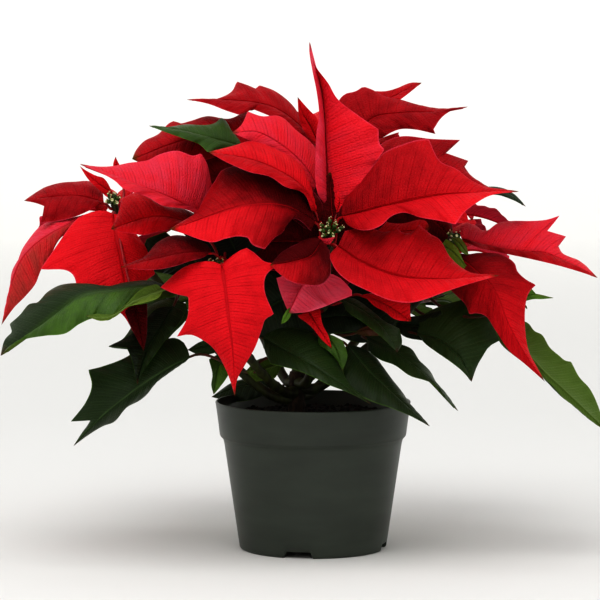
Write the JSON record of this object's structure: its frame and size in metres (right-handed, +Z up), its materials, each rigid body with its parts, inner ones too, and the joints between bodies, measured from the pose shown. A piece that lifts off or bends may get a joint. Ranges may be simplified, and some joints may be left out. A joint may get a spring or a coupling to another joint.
{
  "type": "potted poinsettia plant",
  "caption": "Poinsettia with lobed red bracts and green leaves on woody branches, growing in soil in a round tapered plastic nursery pot.",
  "frame": {"origin": "middle of the pot's flat underside", "axes": "+Z up along the pot's axis, front of the plant towards -Y, +X to the right seen from the front"},
  "size_m": [0.499, 0.3783, 0.427],
  "materials": {
    "pot_plastic": "satin moulded dark grey-green polypropylene",
    "soil": "dark moist peat, rough",
    "bark": "brown woody stem",
    "red_bract": "soft veined red leaf, faint sheen",
    "green_leaf": "soft veined dark green leaf, faint sheen",
    "flower": "small waxy yellow-green flowers"
  },
  "bodies": {
    "root": {"bract_back_centre_a": "red_bract", "bract_back_centre_b": "red_bract", "bract_back_left_a": "red_bract", "bract_back_left_b": "red_bract", "bract_back_left_c": "red_bract", "bract_back_right_a": "red_bract", "bract_back_right_b": "red_bract", "bract_back_right_c": "red_bract", "bract_back_upper_right_a": "red_bract", "bract_centre_back_left": "red_bract", "bract_centre_front": "red_bract", "bract_centre_left": "red_bract", "bract_centre_lower_right": "red_bract", "bract_centre_right": "red_bract", "bract_centre_right_shaded": "red_bract", "bract_centre_upper_left": "red_bract", "bract_centre_upright": "red_bract", "bract_far_left_hanging": "red_bract", "bract_far_left_outer": "red_bract", "bract_far_left_upper": "red_bract", "bract_front_left_hanging": "red_bract", "bract_front_left_pointing": "red_bract", "bract_front_left_shaded": "red_bract", "bract_left_back": "red_bract", "bract_left_long": "red_bract", "bract_low_folded": "red_bract", "bract_rear_left_toothed": "red_bract", "bract_rear_right_slim": "red_bract", "bract_rear_right_toothed": "red_bract", "bract_right_hanging": "red_bract", "bract_right_pointing": "red_bract", "flowers_back_centre": "flower", "flowers_far_left": "flower", "flowers_front_centre": "flower", "flowers_front_left": "flower", "leaf_back_centre_low": "green_leaf", "leaf_back_left_low": "green_leaf", "leaf_back_right_low": "green_leaf", "leaf_centre_short": "green_leaf", "leaf_front_over_rim": "green_leaf", "leaf_front_right_dark": "green_leaf", "leaf_front_right_long": "green_leaf", "leaf_left_hanging": "green_leaf", "leaf_left_wide": "green_leaf", "leaf_lower_left": "green_leaf", "leaf_right_inner": "green_leaf", "leaf_right_outer": "green_leaf", "leaf_right_upper": "green_leaf", "leaf_upper_left": "green_leaf", "pot": "pot_plastic", "soil": "soil", "stem_back_centre": "bark", "stem_back_left": "bark", "stem_back_right": "bark", "stem_back_upper_right": "bark", "stem_front_centre": "bark", "stem_front_left": "bark", "stem_left": "bark", "stem_main": "bark", "stem_right": "bark"}
  },
  "joints": []
}
